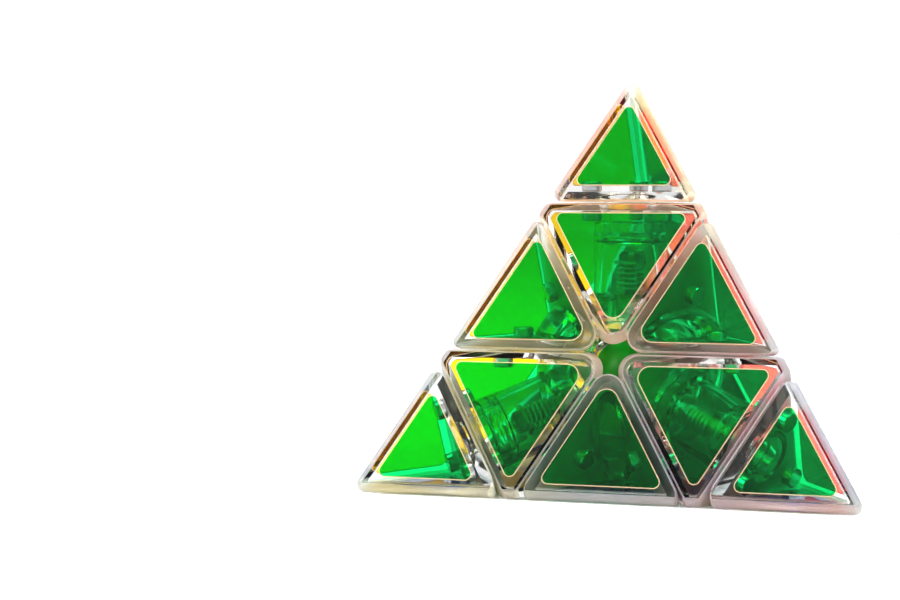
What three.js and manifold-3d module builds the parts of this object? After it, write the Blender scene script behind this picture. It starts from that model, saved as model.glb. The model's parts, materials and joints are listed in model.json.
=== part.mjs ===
// A pyramid twisty puzzle with clear plastic shells, in millimetres, +Z up.
//
// The pyramid is a regular tetrahedron standing on one face. Four axes run from its centre through
// its four tips. Each tip turns on its own axis, and so does each layer: an axial piece with its tip
// and the three edge pieces around it. A core ball in the middle carries one screw, spring and
// washer on each axis. The origin is the centre of the core, where the four axes meet.
import * as THREE from 'three';
import { ConvexGeometry } from 'three/addons/geometries/ConvexGeometry.js';
import { mergeVertices } from 'three/addons/utils/BufferGeometryUtils.js';
import Module from 'manifold-3d';

const wasm = await Module();
wasm.setup();

// ---------------------------------------------------------------- driving sizes

// Outside
const EDGE_LENGTH = 98; // along one edge of the pyramid, over its rounded tips
const EDGE_ROUND = 1.6; // radius of the pyramid's edges and tips
const TIP_PART = 33 / 98; // of the edge, from a sharp corner of the pyramid to the cut under its tip
const CUT_GAP = 0.3; // between two neighbouring pieces
const WALL = 1.6; // of every clear shell
const CENTRE_CORNER = 3.5; // corner radius of the six pieces that meet at a face's centre
const CORNER_TRIM = 1.5; // taken off a piece's other corners, along its bisector

// Ball joint in the middle: spherical layers from the outside in
const FIT_GAP = 0.3; // between pieces that are pushed or glued together
const RUN_GAP = 0.5; // between spherical surfaces that slide past each other
const FLANGE_THICK = 1.8;
const FOOT_THICK = 3.9;
const HOOK = 3.4; // how far a foot reaches in under the flanges beside it
const PLUG_DEPTH = 2.3; // how far an edge piece's foot is plugged into its shell

// Axis: post, seat, spring, washer and screw
const POST_RADIUS = 3;
const POST_HEIGHT = 3.5; // above the core ball
const SEAT_THICK = 1.4;
const STACK_GAP = 0.1; // between the small pieces stacked on a screw
const SPRING_LENGTH = 5.7;
const SPRING_RADIUS = 2.5; // to the middle of the wire
const SPRING_TURNS = 5;
const WIRE_RADIUS = 0.28;
const WASHER_RADIUS = 3.3;
const WASHER_THICK = 0.6;
const SHANK_RADIUS = 1.2;
const SCREW_TIP = 5; // from the centre to the screw's point
const POINT_LENGTH = 1.5;
const POINT_RADIUS = 0.5;
const HEAD_RADIUS = 2.4;
const HEAD_THICK = 1.8;
const HEAD_DOME = 0.7;
const RECESS_WIDTH = 0.7;
const RECESS_DEPTH = 1;

// Stem tube of an axial piece, and the hollow stud that holds its tip
const TUBE_WALL = 1.5;
const MAGNET_ROOM = 2.4; // between the tube's end and the shell's wall above it
const STUD_WALL = 1.4;
const STUD_CLEAR = 1.4; // between the stud's end and the screw head
const BEAD = 0.45; // how far the snap bead stands out from the stud
const BEAD_LENGTH = 1.4;
const BEAD_LIFT = 0.8; // from the stud's end to the bead
const TIP_PLATE = 1.8;

// Fineness of round surfaces
const ROUND_SIDES = 16;
const SMALL_SIDES = 12;
const BALL_DETAIL = 3;
const ARC_STEPS = 2; // in 60 degrees of a corner
const WIRE_SIDES = 4;
const STEPS_PER_TURN = 8;

// ---------------------------------------------------------------- sizes that follow

// A regular tetrahedron: the height is the edge times root 2/3, and the centre is a quarter of it up.
const SHARP_EDGE = EDGE_LENGTH + 2 * EDGE_ROUND * (Math.sqrt(6) - 1);
const HEIGHT = SHARP_EDGE * Math.sqrt(2 / 3);
const FACE_DISTANCE = HEIGHT / 4;
const VERTEX_DISTANCE = (3 * HEIGHT) / 4;
const EDGE_DISTANCE = SHARP_EDGE / (2 * Math.SQRT2);

// The three layer cuts on a face meet at its centre. Distances are measured from the centre along
// an axis.
const LAYER_PLANE = HEIGHT / 12;
const TIP_EDGE = TIP_PART * EDGE_LENGTH;
const TIP_PLANE = VERTEX_DISTANCE - TIP_EDGE * Math.sqrt(2 / 3);
const HALF_GAP = CUT_GAP / 2;
const AXES_ANGLE = Math.acos(-1 / 3);

// Radii of the spherical layers
const SHELL_INNER = FACE_DISTANCE - WALL - 0.1;
const FLANGE_TOP = SHELL_INNER - FIT_GAP;
const FLANGE_BOTTOM = FLANGE_TOP - FLANGE_THICK;
const FOOT_TOP = FLANGE_BOTTOM - RUN_GAP;
const FOOT_BOTTOM = FOOT_TOP - FOOT_THICK;
const CORE_RADIUS = FOOT_BOTTOM - RUN_GAP;
const PLUG_TOP = FLANGE_TOP + PLUG_DEPTH;
const INNER_PLANE = LAYER_PLANE - HOOK;

// The widest stem that another layer's feet still pass as that layer turns
const STEM_RADIUS = FOOT_BOTTOM * Math.sin(AXES_ANGLE - Math.acos((INNER_PLANE - HALF_GAP) / FOOT_BOTTOM));
const STEM_BORE = STEM_RADIUS - TUBE_WALL;
const STEM_TOP = TIP_PLANE - HALF_GAP - WALL - MAGNET_ROOM;

// Heights along an axis
const POST_TOP = CORE_RADIUS + POST_HEIGHT;
const SEAT_BOTTOM = POST_TOP + FIT_GAP;
const SEAT_TOP = SEAT_BOTTOM + SEAT_THICK;
const SPRING_BOTTOM = SEAT_TOP + STACK_GAP;
const SPRING_TOP = SPRING_BOTTOM + SPRING_LENGTH;
const WASHER_BOTTOM = SPRING_TOP + STACK_GAP;
const WASHER_TOP = WASHER_BOTTOM + WASHER_THICK;
const HEAD_BOTTOM = WASHER_TOP + STACK_GAP;
const HEAD_TOP = HEAD_BOTTOM + HEAD_THICK;
const STUD_END = HEAD_TOP + STUD_CLEAR;
const STUD_RADIUS = STEM_BORE - FIT_GAP;
const TIP_BASE = TIP_PLANE + HALF_GAP;

// ---------------------------------------------------------------- axes

// The four axes from the centre to the tips, in the object's own frame
const AXES = {
  top: new THREE.Vector3(0, 0, 1),
  left: new THREE.Vector3(-Math.sqrt(2 / 3), -Math.SQRT2 / 3, -1 / 3),
  right: new THREE.Vector3(Math.sqrt(2 / 3), -Math.SQRT2 / 3, -1 / 3),
  back: new THREE.Vector3(0, (2 * Math.SQRT2) / 3, -1 / 3),
};
const TIPS = Object.keys(AXES);

// The same four axes seen from a piece. A tip piece has its own axis along +Z and b towards +Y.
const TIP_VIEW = {
  a: new THREE.Vector3(0, 0, 1),
  b: new THREE.Vector3(0, (2 * Math.SQRT2) / 3, -1 / 3),
  c: new THREE.Vector3(-Math.sqrt(2 / 3), -Math.SQRT2 / 3, -1 / 3),
  d: new THREE.Vector3(Math.sqrt(2 / 3), -Math.SQRT2 / 3, -1 / 3),
};

// An edge piece has the edge along X, from a to b, with its middle straight up +Z.
const EDGE_VIEW = {
  a: new THREE.Vector3(-Math.sqrt(2 / 3), 0, Math.sqrt(1 / 3)),
  b: new THREE.Vector3(Math.sqrt(2 / 3), 0, Math.sqrt(1 / 3)),
  c: new THREE.Vector3(0, Math.sqrt(2 / 3), -Math.sqrt(1 / 3)),
  d: new THREE.Vector3(0, -Math.sqrt(2 / 3), -Math.sqrt(1 / 3)),
};

// ---------------------------------------------------------------- joining and cutting

function solidFrom(geometry) {
  const bare = new THREE.BufferGeometry();
  bare.setAttribute('position', geometry.getAttribute('position'));
  bare.setIndex(geometry.index);
  const merged = mergeVertices(bare, 1e-5);
  const corners = merged.index.array;
  const triangles = [];
  for (let i = 0; i < corners.length; i += 3) {
    const [p, q, r] = corners.slice(i, i + 3);
    if (p !== q && q !== r && r !== p) triangles.push(p, q, r);
  }
  return new wasm.Manifold(new wasm.Mesh({
    numProp: 3,
    vertProperties: new Float32Array(merged.getAttribute('position').array),
    triVerts: new Uint32Array(triangles),
  }));
}

function geometryFrom(solid) {
  const mesh = solid.getMesh();
  const geometry = new THREE.BufferGeometry();
  geometry.setAttribute('position', new THREE.BufferAttribute(mesh.vertProperties, 3));
  geometry.setIndex(new THREE.BufferAttribute(mesh.triVerts, 1));
  geometry.computeVertexNormals();
  return geometry;
}

// ---------------------------------------------------------------- flat-sided shapes

// A limit keeps what lies within reach of the centre in one direction.
function limit(direction, reach, open = false) {
  return { direction: direction.clone().normalize(), reach, open };
}

function beyond(direction, distance, open = false) {
  return limit(direction.clone().negate(), -distance, open);
}

// Moves every limit in by the same depth. An open side is left out, so a hollow runs through it.
function inset(limits, depth) {
  return limits.filter((side) => !side.open)
    .map((side) => ({ ...side, reach: side.reach - depth }));
}

function cornerOf(p, q, r) {
  const across = new THREE.Vector3().crossVectors(q.direction, r.direction);
  const volume = p.direction.dot(across);
  if (Math.abs(volume) < 1e-6) return null;
  return across.multiplyScalar(p.reach)
    .addScaledVector(new THREE.Vector3().crossVectors(r.direction, p.direction), q.reach)
    .addScaledVector(new THREE.Vector3().crossVectors(p.direction, q.direction), r.reach)
    .divideScalar(volume);
}

// The convex solid that all the limits leave, from the corners where three of them meet
function convex(limits) {
  const corners = [];
  for (let i = 0; i < limits.length; i++) {
    for (let j = i + 1; j < limits.length; j++) {
      for (let k = j + 1; k < limits.length; k++) {
        const corner = cornerOf(limits[i], limits[j], limits[k]);
        if (!corner) continue;
        const inside = limits.every((side) => side.direction.dot(corner) <= side.reach + 1e-6);
        const known = corners.some((other) => other.distanceTo(corner) < 1e-4);
        if (inside && !known) corners.push(corner);
      }
    }
  }
  return solidFrom(new ConvexGeometry(corners));
}

// The whole pyramid with its edges and tips taken off flat
function pyramidLimits({ a, b, c, d }) {
  const axes = [a, b, c, d];
  const limits = [];
  axes.forEach((axis, i) => {
    limits.push(beyond(axis, -FACE_DISTANCE));
    limits.push(limit(axis, VERTEX_DISTANCE - 2 * EDGE_ROUND));
    for (const other of axes.slice(i + 1)) {
      const outwards = axis.clone().add(other);
      limits.push(limit(outwards, EDGE_DISTANCE - EDGE_ROUND * (Math.sqrt(3) - 1)));
    }
  });
  return limits;
}

// What rounds a piece's corner at a face's centre: a sector outside the corner's arc, cut in square
// to the face and past the flanges. The face lies opposite faceAxis, and the corner points towards.
function cornerCutter({ faceAxis, towards }, radius) {
  const point = towards.clone().projectOnPlane(faceAxis).normalize();
  const side = new THREE.Vector3().crossVectors(faceAxis, point);
  const setBack = HALF_GAP / (Math.SQRT2 / 3) + 2 * CENTRE_CORNER;
  const start = faceAxis.clone().multiplyScalar(-FACE_DISTANCE - 1).addScaledVector(point, -setBack);
  const sector = new THREE.Shape();
  sector.absarc(0, 0, radius, -Math.PI / 3, Math.PI / 3, false);
  sector.lineTo(4 * CENTRE_CORNER, 4 * CENTRE_CORNER * Math.sqrt(3));
  sector.lineTo(4 * CENTRE_CORNER, -4 * CENTRE_CORNER * Math.sqrt(3));
  const geometry = new THREE.ExtrudeGeometry(sector, {
    depth: FACE_DISTANCE + 1 - (FLANGE_BOTTOM - 2),
    bevelEnabled: false,
    curveSegments: ARC_STEPS,
  });
  return solidFrom(geometry.applyMatrix4(new THREE.Matrix4().makeBasis(point, side, faceAxis)
    .setPosition(start)));
}

// A convex solid with its corners at the face centres rounded
function rounded(limits, corners, radius) {
  return corners.reduce((solid, corner) => solid.subtract(cornerCutter(corner, radius)), convex(limits));
}

// A piece's corners on the pyramid's edges, this far along them from the sharp tip, are trimmed.
function edgeCornerLimits({ a, b, c, d }, alongEdge) {
  const reach = alongEdge / Math.sqrt(3) - CORNER_TRIM;
  return [b, c, d].map((axis) => limit(axis.clone().projectOnPlane(a), reach));
}

const tipLimits = [
  ...pyramidLimits(TIP_VIEW),
  ...edgeCornerLimits(TIP_VIEW, TIP_EDGE),
  beyond(TIP_VIEW.a, TIP_BASE, true),
];

const axialLimits = [
  ...pyramidLimits(TIP_VIEW),
  ...edgeCornerLimits(TIP_VIEW, SHARP_EDGE / 3),
  limit(TIP_VIEW.a, TIP_PLANE - HALF_GAP),
  beyond(TIP_VIEW.a, LAYER_PLANE + HALF_GAP, true),
  ...[TIP_VIEW.b, TIP_VIEW.c, TIP_VIEW.d].map((axis) => limit(axis, LAYER_PLANE - HALF_GAP)),
];
const axialCorners = [TIP_VIEW.b, TIP_VIEW.c, TIP_VIEW.d].map((faceAxis) => {
  return { faceAxis, towards: TIP_VIEW.a.clone().negate() };
});

const edgeLimits = [
  ...pyramidLimits(EDGE_VIEW),
  beyond(EDGE_VIEW.a, LAYER_PLANE + HALF_GAP),
  beyond(EDGE_VIEW.b, LAYER_PLANE + HALF_GAP),
  ...[-1, 1].map((end) => limit(new THREE.Vector3(end, 0, 0), SHARP_EDGE / 6 - CORNER_TRIM)),
];
const edgeCorners = [
  { faceAxis: EDGE_VIEW.c, towards: EDGE_VIEW.d },
  { faceAxis: EDGE_VIEW.d, towards: EDGE_VIEW.c },
];

// ---------------------------------------------------------------- round shapes

function ball(radius) {
  return solidFrom(new THREE.IcosahedronGeometry(radius, BALL_DETAIL));
}

// A profile of [radius, height] points turned about +Z
function turnedGeometry(profile, sides = ROUND_SIDES) {
  const points = profile.map(([radius, height]) => new THREE.Vector2(radius, height));
  return new THREE.LatheGeometry(points, sides).rotateX(Math.PI / 2);
}

function turned(profile, sides) {
  return solidFrom(turnedGeometry(profile, sides));
}

function rod(radius, bottom, top, sides) {
  return turned([[0, bottom], [radius, bottom], [radius, top], [0, top]], sides);
}

class Helix extends THREE.Curve {
  constructor(radius, bottom, top, turns) {
    super();
    Object.assign(this, { radius, bottom, top, turns });
  }

  getPoint(share, target = new THREE.Vector3()) {
    const angle = share * this.turns * 2 * Math.PI;
    const height = THREE.MathUtils.lerp(this.bottom, this.top, share);
    return target.set(this.radius * Math.cos(angle), this.radius * Math.sin(angle), height);
  }
}

// ---------------------------------------------------------------- core and axis hardware

// The ball with its four posts, drilled for the screws
function coreGeometry() {
  let core = ball(CORE_RADIUS);
  for (const axis of Object.values(AXES)) {
    const turn = new THREE.Quaternion().setFromUnitVectors(TIP_VIEW.a, axis);
    const post = turnedGeometry([[0, 0], [POST_RADIUS, 0], [POST_RADIUS, POST_TOP], [0, POST_TOP]]);
    core = core.add(solidFrom(post.applyQuaternion(turn)));
  }
  for (const axis of Object.values(AXES)) {
    const turn = new THREE.Quaternion().setFromUnitVectors(TIP_VIEW.a, axis);
    const radius = SHANK_RADIUS + STACK_GAP;
    const bottom = SCREW_TIP - STACK_GAP;
    const top = POST_TOP + 1;
    const hole = turnedGeometry([[0, bottom], [radius, bottom], [radius, top], [0, top]], SMALL_SIDES);
    core = core.subtract(solidFrom(hole.applyQuaternion(turn)));
  }
  return geometryFrom(core);
}

// A pan-head screw with a cross recess
function screwGeometry() {
  const blank = turned([
    [0, SCREW_TIP],
    [POINT_RADIUS, SCREW_TIP],
    [SHANK_RADIUS, SCREW_TIP + POINT_LENGTH],
    [SHANK_RADIUS, HEAD_BOTTOM],
    [HEAD_RADIUS, HEAD_BOTTOM],
    [HEAD_RADIUS, HEAD_TOP - HEAD_DOME],
    [HEAD_RADIUS - HEAD_DOME, HEAD_TOP],
    [0, HEAD_TOP],
  ], SMALL_SIDES);
  const length = 2 * (HEAD_RADIUS - HEAD_DOME);
  const slot = new THREE.BoxGeometry(length, RECESS_WIDTH, 2 * RECESS_DEPTH);
  slot.translate(0, 0, HEAD_TOP);
  const cross = solidFrom(slot).add(solidFrom(slot.clone().rotateZ(Math.PI / 2)));
  return geometryFrom(blank.subtract(cross));
}

function springGeometry() {
  const bottom = SPRING_BOTTOM + WIRE_RADIUS;
  const top = SPRING_TOP - WIRE_RADIUS;
  const section = new THREE.Shape(new THREE.Path().absarc(0, 0, WIRE_RADIUS, 0, 2 * Math.PI)
    .getPoints(WIRE_SIDES).slice(0, WIRE_SIDES));
  return new THREE.ExtrudeGeometry(section, {
    steps: SPRING_TURNS * STEPS_PER_TURN,
    extrudePath: new Helix(SPRING_RADIUS, bottom, top, SPRING_TURNS),
    bevelEnabled: false,
  });
}

function washerGeometry() {
  const hole = SHANK_RADIUS + 2 * STACK_GAP;
  return turnedGeometry([
    [hole, WASHER_BOTTOM],
    [WASHER_RADIUS, WASHER_BOTTOM],
    [WASHER_RADIUS, WASHER_TOP],
    [hole, WASHER_TOP],
    [hole, WASHER_BOTTOM],
  ], SMALL_SIDES);
}

// ---------------------------------------------------------------- tips

// A hollow cap, open at its base
function tipCapGeometry() {
  const outside = convex(tipLimits);
  const hollow = convex([...inset(tipLimits, WALL), beyond(TIP_VIEW.a, TIP_PLANE)]);
  return geometryFrom(outside.subtract(hollow));
}

// The plate that closes the cap, with the hollow snap stud under it
function tipBaseGeometry() {
  const plate = convex([
    ...inset(tipLimits, WALL + FIT_GAP),
    beyond(TIP_VIEW.a, TIP_BASE),
    limit(TIP_VIEW.a, TIP_BASE + TIP_PLATE),
  ]);
  const inner = STUD_RADIUS - STUD_WALL;
  const beadBottom = STUD_END + BEAD_LIFT;
  const stud = turned([
    [inner, STUD_END],
    [STUD_RADIUS, STUD_END],
    [STUD_RADIUS, beadBottom],
    [STUD_RADIUS + BEAD, beadBottom + BEAD_LENGTH / 3],
    [STUD_RADIUS + BEAD, beadBottom + (2 * BEAD_LENGTH) / 3],
    [STUD_RADIUS, beadBottom + BEAD_LENGTH],
    [STUD_RADIUS, TIP_BASE + TIP_PLATE / 2],
    [inner, TIP_BASE + TIP_PLATE / 2],
    [inner, STUD_END],
  ]);
  return geometryFrom(plate.add(stud));
}

// ---------------------------------------------------------------- axial pieces

// The clear shell: open towards the core, with a round hole for the tip's stud
function axialShellGeometry() {
  const shell = rounded(axialLimits, axialCorners, CENTRE_CORNER)
    .subtract(rounded(inset(axialLimits, WALL), axialCorners, CENTRE_CORNER - WALL))
    .subtract(ball(SHELL_INNER))
    .subtract(rod(STEM_BORE, STEM_TOP, TIP_PLANE));
  return geometryFrom(shell);
}

// The flange that holds the edge pieces down, with the tube that turns on the core's post
function axialStemGeometry() {
  const flange = rounded(axialLimits, axialCorners, CENTRE_CORNER)
    .intersect(ball(FLANGE_TOP))
    .subtract(ball(FLANGE_BOTTOM));
  const grooveBottom = STUD_END + BEAD_LIFT - FIT_GAP;
  const stem = flange.add(rod(STEM_RADIUS, 0, STEM_TOP))
    .subtract(ball(FOOT_BOTTOM))
    .subtract(rod(POST_RADIUS + FIT_GAP, 0, SEAT_BOTTOM))
    .subtract(rod(SHANK_RADIUS + FIT_GAP, SEAT_BOTTOM - 1, SEAT_TOP + 1, SMALL_SIDES))
    .subtract(rod(STEM_BORE, SEAT_TOP, STEM_TOP + 1))
    .subtract(rod(STEM_BORE + BEAD, grooveBottom, grooveBottom + BEAD_LENGTH + 2 * FIT_GAP));
  return geometryFrom(stem);
}

// ---------------------------------------------------------------- edge pieces

function edgeShellGeometry() {
  const shell = rounded(edgeLimits, edgeCorners, CENTRE_CORNER)
    .subtract(rounded(inset(edgeLimits, WALL), edgeCorners, CENTRE_CORNER - WALL))
    .subtract(ball(SHELL_INNER));
  return geometryFrom(shell);
}

// A plug that fits the shell, a neck between the flanges and a foot hooked in under them. The web
// between neck and foot is narrow enough for the feet of all four layers to pass it.
function edgeFootGeometry() {
  const { a, b, c, d } = EDGE_VIEW;
  const overlap = 0.2;
  const plugWall = WALL + FIT_GAP;
  const plug = rounded(inset(edgeLimits, plugWall), edgeCorners, CENTRE_CORNER - plugWall)
    .intersect(ball(PLUG_TOP))
    .subtract(ball(FLANGE_TOP - overlap));
  const neck = rounded(edgeLimits, edgeCorners, CENTRE_CORNER)
    .intersect(ball(FLANGE_TOP))
    .subtract(ball(FLANGE_BOTTOM));
  const clearOfOthers = [c, d].map((axis) => limit(axis, INNER_PLANE - HALF_GAP));
  const web = convex([...edgeLimits, ...clearOfOthers])
    .intersect(ball(FLANGE_BOTTOM + overlap))
    .subtract(ball(FOOT_TOP - overlap));
  const foot = convex([
    ...pyramidLimits(EDGE_VIEW),
    ...clearOfOthers,
    beyond(a, INNER_PLANE + HALF_GAP),
    beyond(b, INNER_PLANE + HALF_GAP),
  ]).intersect(ball(FOOT_TOP)).subtract(ball(FOOT_BOTTOM));
  return geometryFrom(plug.add(neck).add(web).add(foot));
}

// ---------------------------------------------------------------- materials

const clearPlastic = new THREE.MeshStandardMaterial({
  name: 'clear_plastic', color: 0xe9eef0, roughness: 0.08, metalness: 0, transparent: true, opacity: 0.35,
});
const innerPlastic = new THREE.MeshStandardMaterial({
  name: 'inner_plastic', color: 0xdfe6e6, roughness: 0.15, metalness: 0, transparent: true, opacity: 0.5,
});
const corePlastic = new THREE.MeshStandardMaterial({
  name: 'core_plastic', color: 0x27a844, roughness: 0.3, metalness: 0,
});
const screwSteel = new THREE.MeshStandardMaterial({
  name: 'screw_steel', color: 0x55585c, roughness: 0.35, metalness: 1,
});
const springSteel = new THREE.MeshStandardMaterial({
  name: 'spring_steel', color: 0xaeb2b6, roughness: 0.3, metalness: 1,
});

// ---------------------------------------------------------------- assembly

function piece(name, geometry, material) {
  const mesh = new THREE.Mesh(geometry, material);
  mesh.name = name;
  return mesh;
}

// Turns a group so that its own Z follows up, with its X or Y as near as can be to the given way.
function turnedGroup(up, { alongX, alongY }) {
  const group = new THREE.Group();
  const x = new THREE.Vector3();
  const y = new THREE.Vector3();
  if (alongX) {
    x.copy(alongX).projectOnPlane(up).normalize();
    y.crossVectors(up, x);
  } else {
    y.copy(alongY).projectOnPlane(up).normalize();
    x.crossVectors(y, up);
  }
  group.quaternion.setFromRotationMatrix(new THREE.Matrix4().makeBasis(x, y, up));
  return group;
}

const puzzle = new THREE.Group();
puzzle.name = 'pyramid_twisty_puzzle';
puzzle.add(piece('core', coreGeometry(), corePlastic));

// What stands on each axis, from the core outwards
const axisPieces = [
  ['screw', screwGeometry(), screwSteel],
  ['spring', springGeometry(), springSteel],
  ['washer', washerGeometry(), springSteel],
  ['axial_stem', axialStemGeometry(), innerPlastic],
  ['axial_shell', axialShellGeometry(), clearPlastic],
  ['tip_base', tipBaseGeometry(), innerPlastic],
  ['tip_cap', tipCapGeometry(), clearPlastic],
];
TIPS.forEach((tip, i) => {
  const neighbour = TIPS[(i + 1) % TIPS.length];
  const group = turnedGroup(AXES[tip], { alongY: AXES[neighbour] });
  for (const [name, geometry, material] of axisPieces) {
    group.add(piece(`${name}_${tip}`, geometry, material));
  }
  puzzle.add(group);
});

// The six edge pieces, one between each two tips
const edgePieces = [
  ['edge_foot', edgeFootGeometry(), innerPlastic],
  ['edge_shell', edgeShellGeometry(), clearPlastic],
];
TIPS.forEach((first, i) => {
  for (const second of TIPS.slice(i + 1)) {
    const middle = AXES[first].clone().add(AXES[second]).normalize();
    const along = AXES[second].clone().sub(AXES[first]);
    const group = turnedGroup(middle, { alongX: along });
    for (const [name, geometry, material] of edgePieces) {
      group.add(piece(`${name}_${first}_${second}`, geometry, material));
    }
    puzzle.add(group);
  }
});

export default puzzle;
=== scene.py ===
# A pyramid twisty puzzle with clear plastic shells, in metres, +Z up. Sizes are written in
# millimetres and turned to metres by MM. The origin is the centre of the core.
import math
import json

import bmesh
import bpy
from mathutils import Matrix, Vector


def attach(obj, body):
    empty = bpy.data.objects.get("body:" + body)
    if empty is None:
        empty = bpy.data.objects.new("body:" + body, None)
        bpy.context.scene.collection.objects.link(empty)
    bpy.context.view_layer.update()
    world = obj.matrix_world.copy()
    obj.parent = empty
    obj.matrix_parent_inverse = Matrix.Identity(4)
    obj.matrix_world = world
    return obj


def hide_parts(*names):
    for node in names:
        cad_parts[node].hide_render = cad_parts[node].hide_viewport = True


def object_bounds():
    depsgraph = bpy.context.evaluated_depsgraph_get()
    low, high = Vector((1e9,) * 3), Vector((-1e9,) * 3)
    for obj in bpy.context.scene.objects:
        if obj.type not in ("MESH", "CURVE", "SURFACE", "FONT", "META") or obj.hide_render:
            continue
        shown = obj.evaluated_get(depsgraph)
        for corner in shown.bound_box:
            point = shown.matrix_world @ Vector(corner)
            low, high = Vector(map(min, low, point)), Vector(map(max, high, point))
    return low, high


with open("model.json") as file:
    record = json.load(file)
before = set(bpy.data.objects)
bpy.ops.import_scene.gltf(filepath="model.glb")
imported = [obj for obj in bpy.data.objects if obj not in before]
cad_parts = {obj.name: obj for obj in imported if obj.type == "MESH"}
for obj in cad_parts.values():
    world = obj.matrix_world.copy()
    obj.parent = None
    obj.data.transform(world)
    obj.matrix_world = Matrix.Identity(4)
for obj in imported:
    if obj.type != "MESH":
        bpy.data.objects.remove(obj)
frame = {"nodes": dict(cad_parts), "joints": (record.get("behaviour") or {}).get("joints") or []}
cad_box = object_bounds()

# ---------------------------------------------------------------- camera
# A portrait lens a little right of the front face and just above it. It aims left of the puzzle,
# because the puzzle stands in the right half of the picture.

MM = 0.001
CAMERA_PLACE = Vector((81.6, -397.3, 40.2)) * MM
CAMERA_AIM = Vector((-35.3, -9.6, 16.1)) * MM
LENS = 80

camera = bpy.data.objects.new("camera", bpy.data.cameras.new("camera"))
bpy.context.collection.objects.link(camera)
camera.location = CAMERA_PLACE
camera.rotation_euler = (CAMERA_AIM - CAMERA_PLACE).to_track_quat("-Z", "Y").to_euler()
camera.data.lens = LENS
camera.data.sensor_width = 36
camera.data.clip_start = 0.01
bpy.context.scene.camera = camera

# ---------------------------------------------------------------- studio
# A white table in a white tent, with a large soft lamp on each side and one from above. The tent
# has a dim gap above the camera, so the front face mirrors little light. Clear plastic needs long
# light paths, because each ray crosses many walls.

SKY_WHITE = "#FFFFFF"
SKY_POWER = 1.06
# The gap's middle, and the cosines of the angles from it between which the tent darkens
GAP_WAY = (-0.17, -0.80, 0.58)
GAP_RIM = 0.86
GAP_INSIDE = 0.95
GAP_POWER = 0.25
TABLE_WHITE = "#FBFBFB"
TABLE_SIZE = 4.0
TABLE_DROP = 0.1


def linear(hex_colour, alpha=1.0):
    """The linear RGBA of an sRGB hex colour."""
    parts = [int(hex_colour[i:i + 2], 16) / 255 for i in (1, 3, 5)]
    parts = [c / 12.92 if c <= 0.04045 else ((c + 0.055) / 1.055) ** 2.4 for c in parts]
    return (*parts, alpha)


def add_node(tree, kind, inputs=None, links=None, **settings):
    """Adds a node with its settings, its socket values, and its inputs' links."""
    node = tree.nodes.new(kind)
    for key, value in settings.items():
        setattr(node, key, value)
    for key, value in (inputs or {}).items():
        node.inputs[key].default_value = value
    for key, socket in (links or {}).items():
        tree.links.new(socket, node.inputs[key])
    return node


def material(name):
    """An empty node material and its tree, with the output node ready."""
    made = bpy.data.materials.new(name)
    made.use_nodes = True
    made.node_tree.nodes.clear()
    output = add_node(made.node_tree, "ShaderNodeOutputMaterial")
    return made, made.node_tree, output


scene = bpy.context.scene
scene.cycles.max_bounces = 32
scene.cycles.transmission_bounces = 32
scene.cycles.transparent_max_bounces = 32
scene.view_settings.view_transform = "Standard"

sky = bpy.data.worlds.new("studio_sky")
scene.world = sky
sky.use_nodes = True
tree = sky.node_tree
place = add_node(tree, "ShaderNodeTexCoord")
nearness = add_node(
    tree, "ShaderNodeVectorMath", {1: GAP_WAY}, {0: place.outputs["Generated"]},
    operation="DOT_PRODUCT",
)
power = add_node(
    tree, "ShaderNodeMapRange",
    {"From Min": GAP_RIM, "From Max": GAP_INSIDE, "To Min": SKY_POWER, "To Max": GAP_POWER},
    {"Value": nearness.outputs["Value"]}, interpolation_type="SMOOTHSTEP",
)
tree.links.new(power.outputs["Result"], tree.nodes["Background"].inputs["Strength"])
tree.nodes["Background"].inputs["Color"].default_value = linear(SKY_WHITE)

# Melamine laminate pressed against a matt plate: it scatters light evenly and mirrors almost nothing
table_laminate, tree, output = material("table_matt_white_laminate")
shader = add_node(
    tree, "ShaderNodeBsdfPrincipled", {"Base Color": linear(TABLE_WHITE), "Roughness": 0.6}
)
tree.links.new(shader.outputs["BSDF"], output.inputs["Surface"])
bm = bmesh.new()
bmesh.ops.create_grid(bm, x_segments=1, y_segments=1, size=TABLE_SIZE / 2)
bmesh.ops.translate(bm, verts=bm.verts, vec=(0, 0, cad_box[0][2] - TABLE_DROP * MM))
table_mesh = bpy.data.meshes.new("table")
bm.to_mesh(table_mesh)
bm.free()
table_mesh.materials.append(table_laminate)
table = bpy.data.objects.new("table", table_mesh)
scene.collection.objects.link(table)


def soft_lamp(name, place, size, power):
    """A square area lamp that faces the puzzle."""
    lamp = bpy.data.lights.new(name, "AREA")
    lamp.size = size
    lamp.energy = power
    body = bpy.data.objects.new(name, lamp)
    body.location = place
    body.rotation_euler = (-Vector(place)).to_track_quat("-Z", "Y").to_euler()
    scene.collection.objects.link(body)


soft_lamp("lamp_left", (-0.6, -0.3, 0.5), 0.4, 5)
soft_lamp("lamp_right", (0.6, -0.25, 0.5), 0.3, 4)
soft_lamp("lamp_top", (0.0, 0.1, 1.0), 0.8, 12)

# ---------------------------------------------------------------- core ball
# The green ball in the middle, moulded in satin ABS, with four posts that the screws run into. It
# shows through the hole at each face's centre, where the layer cuts meet.

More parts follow.
